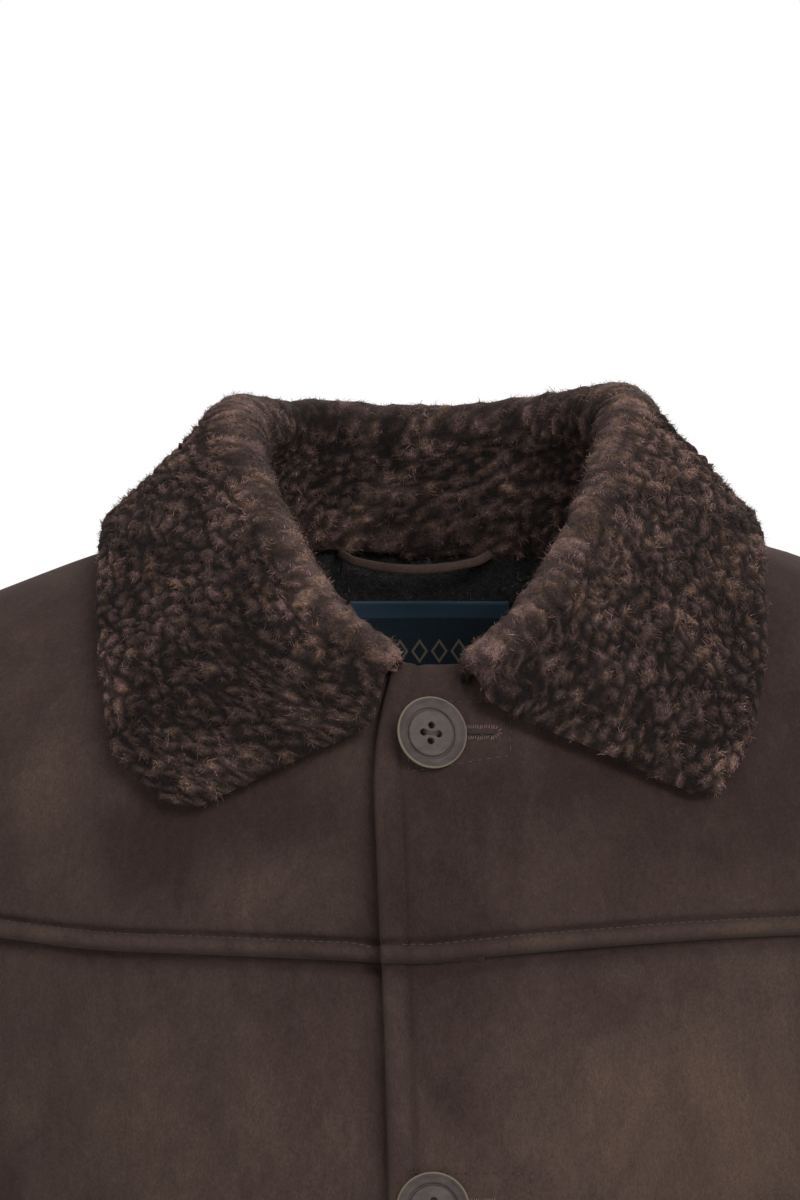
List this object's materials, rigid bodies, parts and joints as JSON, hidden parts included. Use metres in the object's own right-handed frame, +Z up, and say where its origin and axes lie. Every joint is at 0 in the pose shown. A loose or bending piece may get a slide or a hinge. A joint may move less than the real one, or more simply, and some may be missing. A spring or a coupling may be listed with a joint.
{
  "type": "faux suede jacket",
  "caption": "Button-front jacket in dark brown faux suede with a wide folded faux shearling collar, front yokes, a pile back lining and a hanger loop, filled out as worn.",
  "frame": {"origin": "the wearer's neck: the middle of the neck base, level with the two neck points, where the wearer carries the jacket", "axes": "+X to the wearer's left, +Y to the wearer's back, +Z up; the jacket is filled out as worn by an upright wearer"},
  "size_m": [0.8438, 0.2889, 0.7908],
  "materials": {
    "faux_suede": "napped matt dark brown suede look",
    "faux_shearling": "curled dark brown pile",
    "dark_pile": "short near-black pile",
    "woven_label": "woven navy satin",
    "button": "satin taupe horn look"
  },
  "bodies": {
    "root": {"back": "faux_suede", "front_left": "faux_suede", "front_right": "faux_suede", "yoke_left": "faux_suede", "yoke_right": "faux_suede", "sleeve_left": "faux_suede", "sleeve_right": "faux_suede", "undercollar": "faux_suede", "collar": "faux_shearling", "back_lining": "dark_pile", "neck_label": "woven_label", "hanger_loop": "faux_suede", "button_1": "button", "button_2": "button", "button_3": "button", "button_4": "button"}
  },
  "joints": []
}
